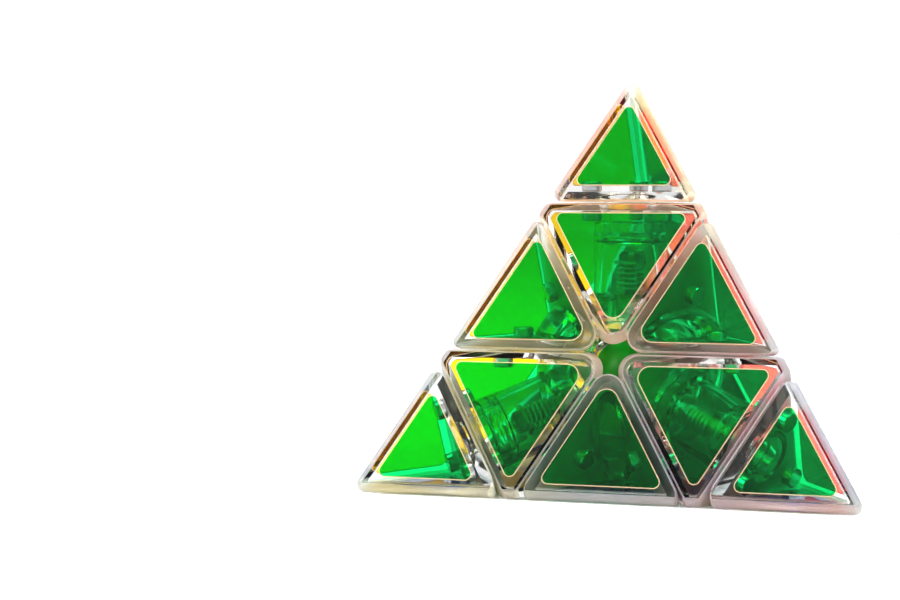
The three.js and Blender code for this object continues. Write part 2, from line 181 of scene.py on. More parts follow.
# A regular tetrahedron. Each axis runs from the core's centre through one tip, and the flat face
# opposite a tip lies at the same distance from the centre as the other three.
AXES = {
    joint["name"].removeprefix("layer_"): Vector(joint["axis"])
    for joint in frame["joints"] if joint["name"].startswith("layer_")
}
TIPS = list(AXES)
FACE_DISTANCE = -cad_box[0][2] / MM
WALL = 1.6
SHELL_INNER = FACE_DISTANCE - WALL - 0.1
FLANGE_TOP = SHELL_INNER - 0.3
FLANGE_BOTTOM = FLANGE_TOP - 1.8
FOOT_TOP = FLANGE_BOTTOM - 0.5
FOOT_BOTTOM = FOOT_TOP - 3.9
CORE_RADIUS = FOOT_BOTTOM - 0.5
POST_RADIUS = 3.0
POST_TOP = CORE_RADIUS + 3.5
SHANK_RADIUS = 1.2
SCREW_PLAY = 0.1
HOLE_BOTTOM = 4.9
CORE_GREEN = "#0CB418"

# Vertices nearer than this, in millimetres, are one vertex
WELD = 1e-4


def turned(up, along_x=None, along_y=None):
    """The turn that takes +Z to up, with X or Y as near as can be to the given way."""
    if along_x:
        x = (along_x - up * along_x.dot(up)).normalized()
        y = up.cross(x)
    else:
        y = (along_y - up * along_y.dot(up)).normalized()
        x = y.cross(up)
    return Matrix((x, y, up)).transposed()


TIP_TURNS = {
    tip: turned(AXES[tip], along_y=AXES[TIPS[(i + 1) % len(TIPS)]])
    for i, tip in enumerate(TIPS)
}


def scratch_object(bm, name="scratch"):
    """An object with the built mesh, in millimetres, to be worked on and then removed."""
    mesh = bpy.data.meshes.new(name)
    bm.to_mesh(mesh)
    bm.free()
    made = bpy.data.objects.new(name, mesh)
    scene.collection.objects.link(made)
    return made


def plain_mesh(made, name):
    """The mesh of an object with its modifiers worked in. The object is removed."""
    depsgraph = bpy.context.evaluated_depsgraph_get()
    mesh = bpy.data.meshes.new_from_object(made.evaluated_get(depsgraph), depsgraph=depsgraph)
    mesh.name = name
    bpy.data.objects.remove(made)
    return mesh


def combine(whole, steps, name):
    """The mesh of a solid after each step: an operation with another solid, which is removed."""
    for operation, other in steps:
        change = whole.modifiers.new("change", "BOOLEAN")
        change.operation = operation
        change.solver = "EXACT"
        change.object = other
    mesh = plain_mesh(whole, name)
    for operation, other in steps:
        bpy.data.objects.remove(other)
    return mesh


def polish(mesh, sharp_angle=35):
    """Smooth shading on the roundings, with the flat faces left flat."""
    bm = bmesh.new()
    bm.from_mesh(mesh)
    bmesh.ops.remove_doubles(bm, verts=bm.verts[:], dist=WELD)
    bmesh.ops.dissolve_degenerate(bm, edges=bm.edges[:], dist=WELD)
    for face in bm.faces:
        face.smooth = True
    for edge in bm.edges:
        edge.smooth = edge.is_manifold and edge.calc_face_angle(0) < math.radians(sharp_angle)
    made = scratch_object(bm)
    weigh = made.modifiers.new("weigh", "WEIGHTED_NORMAL")
    weigh.keep_sharp = True
    weigh.weight = 60
    return plain_mesh(made, mesh.name)


def ball(radius, detail=5):
    """A round solid about the core's centre."""
    bm = bmesh.new()
    bmesh.ops.create_icosphere(bm, subdivisions=detail, radius=radius)
    return scratch_object(bm)


def lathe(profile, sides=48):
    """A solid turned about +Z from a closed profile of (radius, height) points."""
    bm = bmesh.new()
    ring = [bm.verts.new((radius, 0, height)) for radius, height in profile]
    edges = [bm.edges.new((ring[i - 1], ring[i])) for i in range(len(ring))]
    bmesh.ops.spin(
        bm, geom=ring + edges, axis=(0, 0, 1), cent=(0, 0, 0), angle=2 * math.pi, steps=sides,
        use_merge=True,
    )
    bmesh.ops.remove_doubles(bm, verts=bm.verts[:], dist=WELD)
    bmesh.ops.dissolve_degenerate(bm, edges=bm.edges[:], dist=WELD)
    bmesh.ops.recalc_face_normals(bm, faces=bm.faces[:])
    return scratch_object(bm)


def rod(radius, bottom, top):
    """A round bar along +Z between two heights."""
    return lathe([(0, bottom), (radius, bottom), (radius, top), (0, top)])


def aligned(made, turn):
    """The same object with its millimetre mesh turned."""
    made.data.transform(turn.to_4x4())
    return made


def placed_piece(name, mesh, turn, materials=()):
    """A copy of a millimetre mesh, turned to its place, scaled to metres and given materials."""
    copy = mesh.copy()
    copy.name = name
    copy.transform(turn.to_4x4() @ Matrix.Scale(MM, 4))
    for finish in materials:
        copy.materials.append(finish)
    made = bpy.data.objects.new(name, copy)
    scene.collection.objects.link(made)
    return made


# ABS from a spark-eroded mould: a soft, broad highlight. The real texture is under 0.1 mm, and it is
# drawn at 0.6 mm so that it shows.
core_plastic, tree, output = material("abs_satin_green")
place = add_node(tree, "ShaderNodeTexCoord")
grain = add_node(
    tree, "ShaderNodeTexNoise", {"Scale": 1 / (0.6 * MM), "Detail": 3.0},
    {"Vector": place.outputs["Object"]},
)
dent = add_node(
    tree, "ShaderNodeBump", {"Strength": 0.05, "Distance": 0.02 * MM}, {"Height": grain.outputs["Fac"]}
)
shader = add_node(
    tree, "ShaderNodeBsdfPrincipled",
    {"Base Color": linear(CORE_GREEN), "Roughness": 0.35, "IOR": 1.53},
    {"Normal": dent.outputs["Normal"]},
)
tree.links.new(shader.outputs["BSDF"], output.inputs["Surface"])

posts = [
    ("UNION", aligned(rod(POST_RADIUS, 0, POST_TOP), TIP_TURNS[tip])) for tip in TIPS
]
holes = [
    ("DIFFERENCE", aligned(rod(SHANK_RADIUS + SCREW_PLAY, HOLE_BOTTOM, POST_TOP + 1), TIP_TURNS[tip]))
    for tip in TIPS
]
core_mesh = polish(combine(ball(CORE_RADIUS), posts + holes, "core_ball"))
core = placed_piece("core_ball", core_mesh, Matrix.Identity(3), [core_plastic])
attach(core, "core")
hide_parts("core")

# ---------------------------------------------------------------- edge pieces
# Six pieces between the tips, moulded in clear polycarbonate. Each is a shell, hollow and open
# towards the core, glued over a foot that hooks in under the axial pieces' flanges.

HEIGHT = 4 * FACE_DISTANCE
LAYER_PLANE = HEIGHT / 12
HALF_GAP = 0.15
FIT_GAP = 0.3
EDGE_ROUND = 1.6
GROOVE_ROUND = 0.45
EDGE_NOSE_ROUND = 1.2
CENTRE_ROUND = 3.7
INNER_ROUND = 0.5
HOOK = 3.4
PLUG_TOP = FLANGE_TOP + 2.3
FOOT_PLANE = LAYER_PLANE - HOOK
FACE_COLOURS = {"back": "green", "left": "red", "right": "yellow", "top": "blue"}
FILM_COLOURS = {"green": "#00D368", "red": "#FF7C65", "yellow": "#FFD400", "blue": "#4695E1"}
# How much of each film's colour is painted into the hazy walls, as light from that film
FILM_LIGHT_PAINT_SHARES = {"green": 0.3, "red": 0.5, "yellow": 0.6, "blue": 0.35}
CLEAR_TINT = "#FFFFFF"
INNER_TINT = "#FCFEFD"
JOIN_OVERLAP = 0.2

# The opening at each face's centre, from inside the core to outside the face
OPENING_RADIUS = 4.7
OPENING_SPAN = (10, 30)

# How far from the core's centre to a face, as a share, the hazy walls take on and lose each film's colour,
# painted in as light that comes through the film
FILM_LIGHT_PAINT_RISE = (-1.2, 0.6)
FILM_LIGHT_PAINT_FALL = (0.75, 0.97)

# The number of strips in each kind of rounding
CORNER_STEPS = 13
RIDGE_STEPS = 9
NOSE_STEPS = 5
GROOVE_STEPS = 3

# The block that each piece is carved from, larger than the puzzle. A vertex within CUT_WELD of a
# cut lies on it, and the weld after carving takes up slivers.
BLANK_SIZE = 200
CUT_WELD = 1e-5
CARVE_WELD = 1e-3

# An edge piece seen with its own edge along X: the two axes beside it, then the other two
EDGE_VIEW = [
    Vector((-math.sqrt(2 / 3), 0, math.sqrt(1 / 3))),
    Vector((math.sqrt(2 / 3), 0, math.sqrt(1 / 3))),
    Vector((0, math.sqrt(2 / 3), -math.sqrt(1 / 3))),
    Vector((0, -math.sqrt(2 / 3), -math.sqrt(1 / 3))),
]
EDGE_NAMES = [(a, b) for i, a in enumerate(TIPS) for b in TIPS[i + 1:]]
EDGE_TURNS = {
    (a, b): turned((AXES[a] + AXES[b]).normalized(), along_x=AXES[b] - AXES[a])
    for a, b in EDGE_NAMES
}


def clear_resin(name, tint, roughness, flow_size, transmission):
    """Clear moulded polycarbonate with the slight waviness that its flow in the mould leaves."""
    made, tree, output = material(name)
    place = add_node(tree, "ShaderNodeTexCoord")
    flow = add_node(
        tree, "ShaderNodeTexNoise", {"Scale": 1 / (flow_size * MM), "Detail": 1.0},
        {"Vector": place.outputs["Object"]},
    )
    dent = add_node(
        tree, "ShaderNodeBump", {"Strength": 0.06, "Distance": 0.05 * MM}, {"Height": flow.outputs["Fac"]}
    )
    shader = add_node(
        tree, "ShaderNodeBsdfPrincipled",
        {
            "Base Color": linear(tint), "Roughness": roughness, "IOR": 1.45,
            "Transmission Weight": transmission,
        },
        {"Normal": dent.outputs["Normal"]},
    )
    tree.links.new(shader.outputs["BSDF"], output.inputs["Surface"])
    return made


# From polished mould faces: sharp highlights, and what is inside shows clearly
clear_plastic = clear_resin("polycarbonate_clear_polished", CLEAR_TINT, 0.03, 9, 1.0)
# Beside the cuts, dulled as the pieces leave the mould and rub on each other: a pale, blurred band. Its
# colour is then tinted with painted light from the films
hazy_plastic_painted_film_light = clear_resin("polycarbonate_clear_hazy_walls", CLEAR_TINT, 0.4, 5, 0.8)
# Inner parts, from an unpolished mould: slightly soft, with a trace of green
inner_plastic = clear_resin("polycarbonate_clear_unpolished", INNER_TINT, 0.06, 4, 0.98)

# Painted light: the hazy walls' colour is tinted with each film's colour, most of all a short way from its
# face, in place of the coloured light that comes through the films.
tree = hazy_plastic_painted_film_light.node_tree
place = add_node(tree, "ShaderNodeTexCoord")
tint = add_node(tree, "ShaderNodeRGB")
tint.outputs["Color"].default_value = linear(CLEAR_TINT)
colour = tint.outputs["Color"]
for tip, film in FACE_COLOURS.items():
    nearness = add_node(
        tree, "ShaderNodeVectorMath", {1: -AXES[tip] / (FACE_DISTANCE * MM)}, {0: place.outputs["Object"]},
        operation="DOT_PRODUCT",
    )
    rise = add_node(
        tree, "ShaderNodeMapRange",
        {
            "From Min": FILM_LIGHT_PAINT_RISE[0], "From Max": FILM_LIGHT_PAINT_RISE[1],
            "To Min": 0.0, "To Max": FILM_LIGHT_PAINT_SHARES[film],
        },
        {"Value": nearness.outputs["Value"]}, interpolation_type="SMOOTHSTEP",
    )
    fall = add_node(
        tree, "ShaderNodeMapRange",
        {"From Min": FILM_LIGHT_PAINT_FALL[0], "From Max": FILM_LIGHT_PAINT_FALL[1], "To Min": 1.0, "To Max": 0.0},
        {"Value": nearness.outputs["Value"]}, interpolation_type="SMOOTHSTEP",
    )
    share = add_node(
        tree, "ShaderNodeMath", links={0: rise.outputs["Result"], 1: fall.outputs["Result"]},
        operation="MULTIPLY",
    )
    mixed = add_node(
        tree, "ShaderNodeMix", {7: linear(FILM_COLOURS[film])}, {0: share.outputs["Value"], 6: colour},
        data_type="RGBA", blend_type="MULTIPLY",
    )
    colour = mixed.outputs[2]
tree.links.new(colour, tree.nodes["Principled BSDF"].inputs["Base Color"])


def mix_sides(sides, shares, radius):
    """The side tangent to the rounding of some sides, in the direction that the shares give."""
    direction = sum((side[0] * share for side, share in zip(sides, shares)), Vector())
    length = direction.length
    reach = sum((side[1] - radius) * share for side, share in zip(sides, shares)) / length + radius
    return direction / length, reach


def fillet(one, two, radius, steps):
    """The strips that round the edge between two sides, evenly spaced in angle."""
    angle = one[0].angle(two[0])
    strips = []
    for i in range(1, steps + 1):
        share = i / (steps + 1)
        shares = (math.sin((1 - share) * angle), math.sin(share * angle))
        strips.append(mix_sides((one, two), shares, radius))
    return strips


def carve(sides):
    """The closed convex mesh, in millimetres, that all the sides leave."""
    bm = bmesh.new()
    bmesh.ops.create_cube(bm, size=BLANK_SIZE)
    for direction, reach in sides:
        everything = bm.verts[:] + bm.edges[:] + bm.faces[:]
        bmesh.ops.bisect_plane(
            bm, geom=everything, plane_co=direction * reach, plane_no=direction, clear_outer=True,
            dist=CUT_WELD,
        )
        rim = [edge for edge in bm.edges if edge.is_boundary]
        if rim:
            bmesh.ops.edgeloop_fill(bm, edges=rim)
    bmesh.ops.remove_doubles(bm, verts=bm.verts[:], dist=CARVE_WELD)
    bmesh.ops.dissolve_degenerate(bm, edges=bm.edges[:], dist=CARVE_WELD)
    bmesh.ops.recalc_face_normals(bm, faces=bm.faces[:])
    return bm


def pyramid_faces(axes, inset=0.0):
    """The pyramid's flat faces opposite some of its tips."""
    return [(-axis, FACE_DISTANCE - inset) for axis in axes]


def pairs(items):
    """Every two of the items, in order."""
    return [(one, two) for i, one in enumerate(items) for two in items[i + 1:]]


def ridge_end(ridge, cut, nose_round):
    """The strips that round a ridge's end at a cut, by the most in the middle of the ridge."""
    strips = []
    for i, strip in enumerate(ridge):
        bulge = math.sin(math.pi * (i + 1) / (len(ridge) + 1))
        strips += fillet(strip, cut, GROOVE_ROUND + (nose_round - GROOVE_ROUND) * bulge, NOSE_STEPS)
    return strips


def edge_sides(inset=0.0):
    """Two faces with the ridge between them, and two layer cuts that meet in a rounded corner."""
    a, b, *others = EDGE_VIEW
    faces = pyramid_faces(others, inset)
    cuts = [(-axis, -LAYER_PLANE - HALF_GAP - inset) for axis in (a, b)]
    corner = fillet(*cuts, CENTRE_ROUND - inset, CORNER_STEPS)
    ridge = fillet(*faces, EDGE_ROUND if inset == 0 else INNER_ROUND, RIDGE_STEPS)
    sides = [*faces, *cuts, *corner, *ridge]
    if inset == 0:
        for wall in [*cuts, *corner]:
            for face in faces:
                sides += fillet(wall, face, GROOVE_ROUND, GROOVE_STEPS)
        for cut in cuts:
            sides += ridge_end(ridge, cut, EDGE_NOSE_ROUND)
    return sides


def face_openings(axes):
    """Rods that clear the view of the core through the hole at each face's centre."""
    aside = Vector((0.3, 0.5, 0.8))
    return [
        ("DIFFERENCE", aligned(rod(OPENING_RADIUS, *OPENING_SPAN), turned(-axis, along_y=aside)))
        for axis in axes
    ]


def with_hazy_walls(mesh, flat_ways):
    """The mesh with its second material everywhere but on the flat outer faces and behind them."""
    for polygon in mesh.polygons:
        is_flat = any(abs(polygon.normal.dot(way)) > 0.9995 for way in flat_ways)
        polygon.material_index = 0 if is_flat else 1
    return mesh


def edge_block(inset=0.0):
    """An edge piece's outline as a solid, or with an inset the smaller solid inside it."""
    return scratch_object(carve(edge_sides(inset)))


edge_shell = with_hazy_walls(polish(combine(
    edge_block(), [("DIFFERENCE", edge_block(WALL)), ("DIFFERENCE", ball(SHELL_INNER))], "edge_shell"
)), EDGE_VIEW[2:])

# The foot's four parts: a plug in the shell, a neck, the hook, and a web that joins neck and hook
a, b, c, d = EDGE_VIEW
web_limits = [(c, FOOT_PLANE - HALF_GAP), (d, FOOT_PLANE - HALF_GAP)]
plug = combine(
    edge_block(WALL + FIT_GAP),
    [("INTERSECT", ball(PLUG_TOP)), ("DIFFERENCE", ball(FLANGE_TOP - JOIN_OVERLAP))], "plug",
)
neck = combine(
    edge_block(), [("INTERSECT", ball(FLANGE_TOP)), ("DIFFERENCE", ball(FLANGE_BOTTOM))], "neck"
)
web = combine(
    scratch_object(carve([*edge_sides(), *web_limits])),
    [
        ("INTERSECT", ball(FLANGE_BOTTOM + JOIN_OVERLAP)),
        ("DIFFERENCE", ball(FOOT_TOP - JOIN_OVERLAP)),
    ],
    "web",
)
hook_sides = [
    *pyramid_faces((c, d)), *web_limits, (-a, -FOOT_PLANE - HALF_GAP), (-b, -FOOT_PLANE - HALF_GAP),
]
hook = scratch_object(carve(hook_sides))
joined = []
for mesh in (plug, neck, web):
    part = bpy.data.objects.new("part", mesh)
    scene.collection.objects.link(part)
    joined.append(("UNION", part))
edge_foot = polish(combine(
    hook,
    [("INTERSECT", ball(FOOT_TOP)), ("DIFFERENCE", ball(FOOT_BOTTOM)), *joined, *face_openings((c, d))],
    "edge_foot",
))

for a, b in EDGE_NAMES:
    for kind, mesh, finishes, slot in (
        ("shell", edge_shell, [clear_plastic, hazy_plastic_painted_film_light], "clear_plastic"),
        ("foot", edge_foot, [inner_plastic], "inner_plastic"),
    ):
        part = placed_piece(f"clear_edge_{kind}_{a}_{b}", mesh, EDGE_TURNS[a, b], finishes)
        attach(part, f"edge_{a}_{b}")
        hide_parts(f"edge_{kind}_{a}_{b}")

# ---------------------------------------------------------------- axial pieces
# Four pieces on the axes, moulded in clear polycarbonate. Each is a flange with a tube that turns on
# the core's post, and a shell glued over it with a round hole for the tip's stud.

VERTEX_DISTANCE = 3 * FACE_DISTANCE
TIP_EDGE = 33
TIP_PLANE = VERTEX_DISTANCE - TIP_EDGE * math.sqrt(2 / 3)
CORNER_ROUND = 2.4
STEM_RADIUS = 7.33
STEM_BORE = STEM_RADIUS - 1.5
STEM_TOP = TIP_PLANE - HALF_GAP - WALL - 2.4
SEAT_BOTTOM = POST_TOP + FIT_GAP
SEAT_TOP = SEAT_BOTTOM + 1.4
STEM_CHAMFER = 0.25
STUD_END = 27.25
BEAD_START = STUD_END + 0.8
BEAD = 0.45
BEAD_LENGTH = 1.4
GROOVE_RAMP = 0.3
RUN_OUT = 3

# A piece seen with its own axis up, and the other three axes
TIP_VIEW = [
    Vector((0, 0, 1)),
    Vector((0, 2 * math.sqrt(2) / 3, -1 / 3)),
    Vector((-math.sqrt(2 / 3), -math.sqrt(2) / 3, -1 / 3)),
    Vector((math.sqrt(2 / 3), -math.sqrt(2) / 3, -1 / 3)),
]


def axial_sides(inset=0.0):
    """Three faces, the cut under the tip, three layer cuts and the open side towards the core."""
    a, *others = TIP_VIEW
    faces = pyramid_faces(others, inset)
    top = (a, TIP_PLANE - HALF_GAP - inset)
    cuts = [(axis, LAYER_PLANE - HALF_GAP - inset) for axis in others]
    # A hollow, which is what an inset asks for, runs out through the open side
    bottom = (-a, -LAYER_PLANE - HALF_GAP if inset == 0 else -LAYER_PLANE + RUN_OUT)
    corners = []
    for cut in cuts:
        corners += fillet(top, cut, CORNER_ROUND - inset, RIDGE_STEPS)
    for one, two in pairs(cuts):
        corners += fillet(one, two, CENTRE_ROUND - inset, CORNER_STEPS)
    walls = [top, *cuts, *corners]
    sides = [*faces, *walls, bottom]
    ridges = []
    for one, two in pairs(faces):
        ridges += fillet(one, two, EDGE_ROUND if inset == 0 else INNER_ROUND, RIDGE_STEPS)
    sides += ridges
    if inset == 0:
        for wall in walls:
            for face in [*faces, *ridges]:
                # Sides that are nearly level with each other, or that don't meet, keep no rounding
                if -0.5 < wall[0].dot(face[0]) < 0.95:
                    sides += fillet(wall, face, GROOVE_ROUND, GROOVE_STEPS)
    return sides


def axial_block(inset=0.0):
    """An axial piece's outline as a solid, or with an inset the smaller solid inside it."""
    return scratch_object(carve(axial_sides(inset)))


axial_shell = with_hazy_walls(polish(combine(
    axial_block(),
    [
        ("DIFFERENCE", axial_block(WALL)), ("DIFFERENCE", ball(SHELL_INNER)),
        ("DIFFERENCE", rod(STEM_BORE, TIP_PLANE - 4, TIP_PLANE + 1)),
    ],
    "axial_shell",
)), TIP_VIEW[1:])

# The tube's outside, and then its whole bore: post hole, shank hole, spring room and bead groove
groove = BEAD_START - FIT_GAP
groove_end = groove + BEAD_LENGTH
bore = lathe([
    (0, 0), (POST_RADIUS + FIT_GAP, 0), (POST_RADIUS + FIT_GAP, SEAT_BOTTOM),
    (SHANK_RADIUS + FIT_GAP, SEAT_BOTTOM), (SHANK_RADIUS + FIT_GAP, SEAT_TOP), (STEM_BORE, SEAT_TOP),
    (STEM_BORE, groove), (STEM_BORE + BEAD, groove + GROOVE_RAMP), (STEM_BORE + BEAD, groove_end),
    (STEM_BORE, groove_end + 2 * GROOVE_RAMP), (STEM_BORE, STEM_TOP + 1), (0, STEM_TOP + 1),
])
tube = lathe([
    (0, 0), (STEM_RADIUS, 0), (STEM_RADIUS, STEM_TOP - STEM_CHAMFER),
    (STEM_RADIUS - STEM_CHAMFER, STEM_TOP), (0, STEM_TOP),
])
axial_stem = polish(combine(
    axial_block(),
    [
        ("INTERSECT", ball(FLANGE_TOP)), ("DIFFERENCE", ball(FLANGE_BOTTOM)), ("UNION", tube),
        ("DIFFERENCE", ball(FOOT_BOTTOM)), ("DIFFERENCE", bore), *face_openings(TIP_VIEW[1:]),
    ],
    "axial_stem",
))

for tip in TIPS:
    for kind, mesh, finishes, slot in (
        ("shell", axial_shell, [clear_plastic, hazy_plastic_painted_film_light], "clear_plastic"),
        ("stem", axial_stem, [inner_plastic], "inner_plastic"),
    ):
        part = placed_piece(f"clear_axial_{kind}_{tip}", mesh, TIP_TURNS[tip], finishes)
        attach(part, f"axial_{tip}")
        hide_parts(f"axial_{kind}_{tip}")

# ---------------------------------------------------------------- springs, washers and screws
# On each axis a plated steel screw runs into the core's post. It holds a washer and a drawn steel
# spring down on the seat inside the axial piece's tube.

SPRING_BOTTOM = SEAT_TOP + 0.1
SPRING_LENGTH = 5.7
SPRING_RADIUS = 2.5
SPRING_TURNS = 5
WIRE_RADIUS = 0.28
SCREW_GREY = "#6B6E72"
SPRING_GREY = "#B9BCBF"


def steel(name, colour, roughness):
    """Bright steel whose gloss is a little uneven, from fine marks made in turning or drawing. The
    real marks are under 0.1 mm, and they are drawn at 0.3 mm so that they show."""
    made, tree, output = material(name)
    place = add_node(tree, "ShaderNodeTexCoord")
    marks = add_node(
        tree, "ShaderNodeTexNoise", {"Scale": 1 / (0.3 * MM), "Detail": 4.0},
        {"Vector": place.outputs["Object"]},
    )
    rough = add_node(
        tree, "ShaderNodeMapRange", {"To Min": roughness - 0.07, "To Max": roughness + 0.07},
        {"Value": marks.outputs["Fac"]},
    )
    shader = add_node(
        tree, "ShaderNodeBsdfPrincipled", {"Base Color": linear(colour), "Metallic": 1.0},
        {"Roughness": rough.outputs["Result"]},
    )
    tree.links.new(shader.outputs["BSDF"], output.inputs["Surface"])
    return made


def node_group(name, inputs):
    """A Geometry Nodes group with named inputs. Returns it with its input and output nodes."""
    group = bpy.data.node_groups.new(name, "GeometryNodeTree")
    group.interface.new_socket("Geometry", in_out="INPUT", socket_type="NodeSocketGeometry")
    group.interface.new_socket("Geometry", in_out="OUTPUT", socket_type="NodeSocketGeometry")
    for label, kind in inputs:
        group.interface.new_socket(label, in_out="INPUT", socket_type=kind)
    return group, add_node(group, "NodeGroupInput"), add_node(group, "NodeGroupOutput")


def grown(made, group, values, name):
    """The plain mesh that a node group makes from an object. The object is removed."""
    grow = made.modifiers.new("grow", "NODES")
    grow.node_group = group
    for item in group.interface.items_tree:
        if item.item_type == "SOCKET" and item.in_out == "INPUT" and item.name in values:
            grow[item.identifier] = values[item.name]
    return plain_mesh(made, name)


# Zinc-plated steel: a darker, softer grey
screw_steel = steel("steel_zinc_plated_screw", SCREW_GREY, 0.3)
# Drawn spring wire: pale and brighter
spring_steel = steel("spring_steel_drawn", SPRING_GREY, 0.25)

wire_group, start, end = node_group(
    "wire_coil",
    [
        ("Turns", "NodeSocketFloat"), ("Radius", "NodeSocketFloat"), ("Length", "NodeSocketFloat"),
        ("Wire", "NodeSocketFloat"), ("Finish", "NodeSocketMaterial"),
    ],
)
path = add_node(
    wire_group, "GeometryNodeCurveSpiral", {"Resolution": 40},
    {
        "Rotations": start.outputs["Turns"], "Start Radius": start.outputs["Radius"],
        "End Radius": start.outputs["Radius"], "Height": start.outputs["Length"],
    },
)
section = add_node(
    wire_group, "GeometryNodeCurvePrimitiveCircle", {"Resolution": 12}, {"Radius": start.outputs["Wire"]}
)
wire = add_node(
    wire_group, "GeometryNodeCurveToMesh", {"Fill Caps": True},
    {"Curve": path.outputs["Curve"], "Profile Curve": section.outputs["Curve"]},
)
drawn = add_node(
    wire_group, "GeometryNodeSetMaterial",
    links={"Geometry": wire.outputs["Mesh"], "Material": start.outputs["Finish"]},
)
wire_group.links.new(drawn.outputs["Geometry"], end.inputs["Geometry"])

coil = grown(
    scratch_object(bmesh.new()), wire_group,
    {
        "Turns": float(SPRING_TURNS), "Radius": SPRING_RADIUS, "Length": SPRING_LENGTH - 2 * WIRE_RADIUS,
        "Wire": WIRE_RADIUS, "Finish": spring_steel,
    },
    "coil",
)
coil.transform(Matrix.Translation((0, 0, SPRING_BOTTOM + WIRE_RADIUS)))
for polygon in coil.polygons:
    polygon.use_smooth = True
for tip in TIPS:
    spring = placed_piece(f"spring_coil_{tip}", coil, TIP_TURNS[tip])
    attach(spring, "core")
    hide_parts(f"spring_{tip}")
    for kind, metal in (("screw", screw_steel), ("washer", spring_steel)):
        node = frame["nodes"][f"{kind}_{tip}"]
        node.data.materials.clear()
        node.data.materials.append(metal)

# ---------------------------------------------------------------- tips
# Four caps moulded in clear polycarbonate, each closed by a plate glued into it. The hollow stud
# under the plate snaps into the axial piece's tube, and the tip turns on it.

NOSE_ROUND = 1.7
STUD_RADIUS = STEM_BORE - FIT_GAP
STUD_WALL = 1.4
STUD_CHAMFER = 0.2
TIP_BASE = TIP_PLANE + HALF_GAP
TIP_PLATE = 1.8
TIP_RUN_OUT = 1
NOSE_FACETS = 8
RIM_STEPS = 4


def round_tip(sides, radius, steps):
    """The facets that round the corner where three sides meet."""
    facets = []
    for i in range(1, steps):
        for j in range(1, steps - i):
            facets.append(mix_sides(sides, (i, j, steps - i - j), radius))
    return facets


def tip_sides(inset=0.0):
    """Three faces, their three ridges, the rounded tip, and the base with its rounded rim."""
    a, *others = TIP_VIEW
    faces = pyramid_faces(others, inset)
    radius = EDGE_ROUND if inset == 0 else INNER_ROUND
    # A hollow, which is what an inset asks for, runs out through the base
    base = (-a, -TIP_PLANE - HALF_GAP if inset == 0 else -TIP_PLANE + TIP_RUN_OUT)
    sides = [*faces, base, *round_tip(faces, radius, NOSE_FACETS)]
    for one, two in pairs(faces):
        ridge = fillet(one, two, radius, RIDGE_STEPS)
        sides += ridge
        if inset == 0:
            sides += ridge_end(ridge, base, NOSE_ROUND)
    if inset == 0:
        for face in faces:
            sides += fillet(face, base, GROOVE_ROUND, RIM_STEPS)
    return sides


def tip_block(inset=0.0, extra=()):
    """A tip's outline as a solid, or with an inset the smaller solid inside it, with extra sides."""
    return scratch_object(carve([*tip_sides(inset), *extra]))


tip_cap = with_hazy_walls(
    polish(combine(tip_block(), [("DIFFERENCE", tip_block(WALL))], "tip_cap")), TIP_VIEW[1:]
)

stud = lathe([
    (STUD_RADIUS - STUD_WALL, STUD_END), (STUD_RADIUS - STUD_CHAMFER, STUD_END),
    (STUD_RADIUS, STUD_END + STUD_CHAMFER),
    (STUD_RADIUS, BEAD_START), (STUD_RADIUS + BEAD, BEAD_START + BEAD_LENGTH / 3),
    (STUD_RADIUS + BEAD, BEAD_START + 2 * BEAD_LENGTH / 3), (STUD_RADIUS, BEAD_START + BEAD_LENGTH),
    (STUD_RADIUS, TIP_BASE + TIP_PLATE / 2), (STUD_RADIUS - STUD_WALL, TIP_BASE + TIP_PLATE / 2),
])
plate_limits = [(TIP_VIEW[0], TIP_BASE + TIP_PLATE), (-TIP_VIEW[0], -TIP_BASE)]
tip_base = polish(combine(tip_block(WALL + FIT_GAP, plate_limits), [("UNION", stud)], "tip_base"))

for tip in TIPS:
    for kind, mesh, finishes, slot in (
        ("cap", tip_cap, [clear_plastic, hazy_plastic_painted_film_light], "clear_plastic"),
        ("base", tip_base, [inner_plastic], "inner_plastic"),
    ):
        part = placed_piece(f"clear_tip_{kind}_{tip}", mesh, TIP_TURNS[tip], finishes)
        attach(part, f"tip_{tip}")
        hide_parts(f"tip_{kind}_{tip}")

# ---------------------------------------------------------------- magnets
# Small nickel-plated neodymium discs that pull the layers and tips into line. They are glued behind
# the walls, face to face across every cut.

MAGNET_RADIUS = 2.0
MAGNET_THICK = 2.0
MAGNET_CHAMFER = 0.2
MAGNET_NICKEL = "#B4B6B9"
TIP_MAGNET_REACH = 8.2
TIP_MAGNET_LIFT = 3.0
AXIAL_MAGNET_DROP = 2.9
SIDE_MAGNET_DEPTH = 7.1
SIDE_MAGNET_GAP = 2.95

# Bright nickel plated in a barrel: mirror-like, with fine dents that make the gloss uneven. They are
# drawn at 0.5 mm, coarser than they are, so that they show.
magnet_nickel, tree, output = material("neodymium_magnet_nickel_plated")
place = add_node(tree, "ShaderNodeTexCoord")
marks = add_node(
    tree, "ShaderNodeTexNoise", {"Scale": 1 / (0.5 * MM), "Detail": 3.0},
    {"Vector": place.outputs["Object"]},
)
rough = add_node(
    tree, "ShaderNodeMapRange", {"To Min": 0.12, "To Max": 0.28}, {"Value": marks.outputs["Fac"]}
)
shader = add_node(
    tree, "ShaderNodeBsdfPrincipled", {"Base Color": linear(MAGNET_NICKEL), "Metallic": 1.0},
    {"Roughness": rough.outputs["Result"]},
)
tree.links.new(shader.outputs["BSDF"], output.inputs["Surface"])

disc = lathe([
    (0, 0), (MAGNET_RADIUS - MAGNET_CHAMFER, 0), (MAGNET_RADIUS, MAGNET_CHAMFER),
    (MAGNET_RADIUS, MAGNET_THICK - MAGNET_CHAMFER), (MAGNET_RADIUS - MAGNET_CHAMFER, MAGNET_THICK),
    (0, MAGNET_THICK),
])
disc.data = polish(disc.data)
disc.data.transform(Matrix.Translation((0, 0, -MAGNET_THICK / 2)))

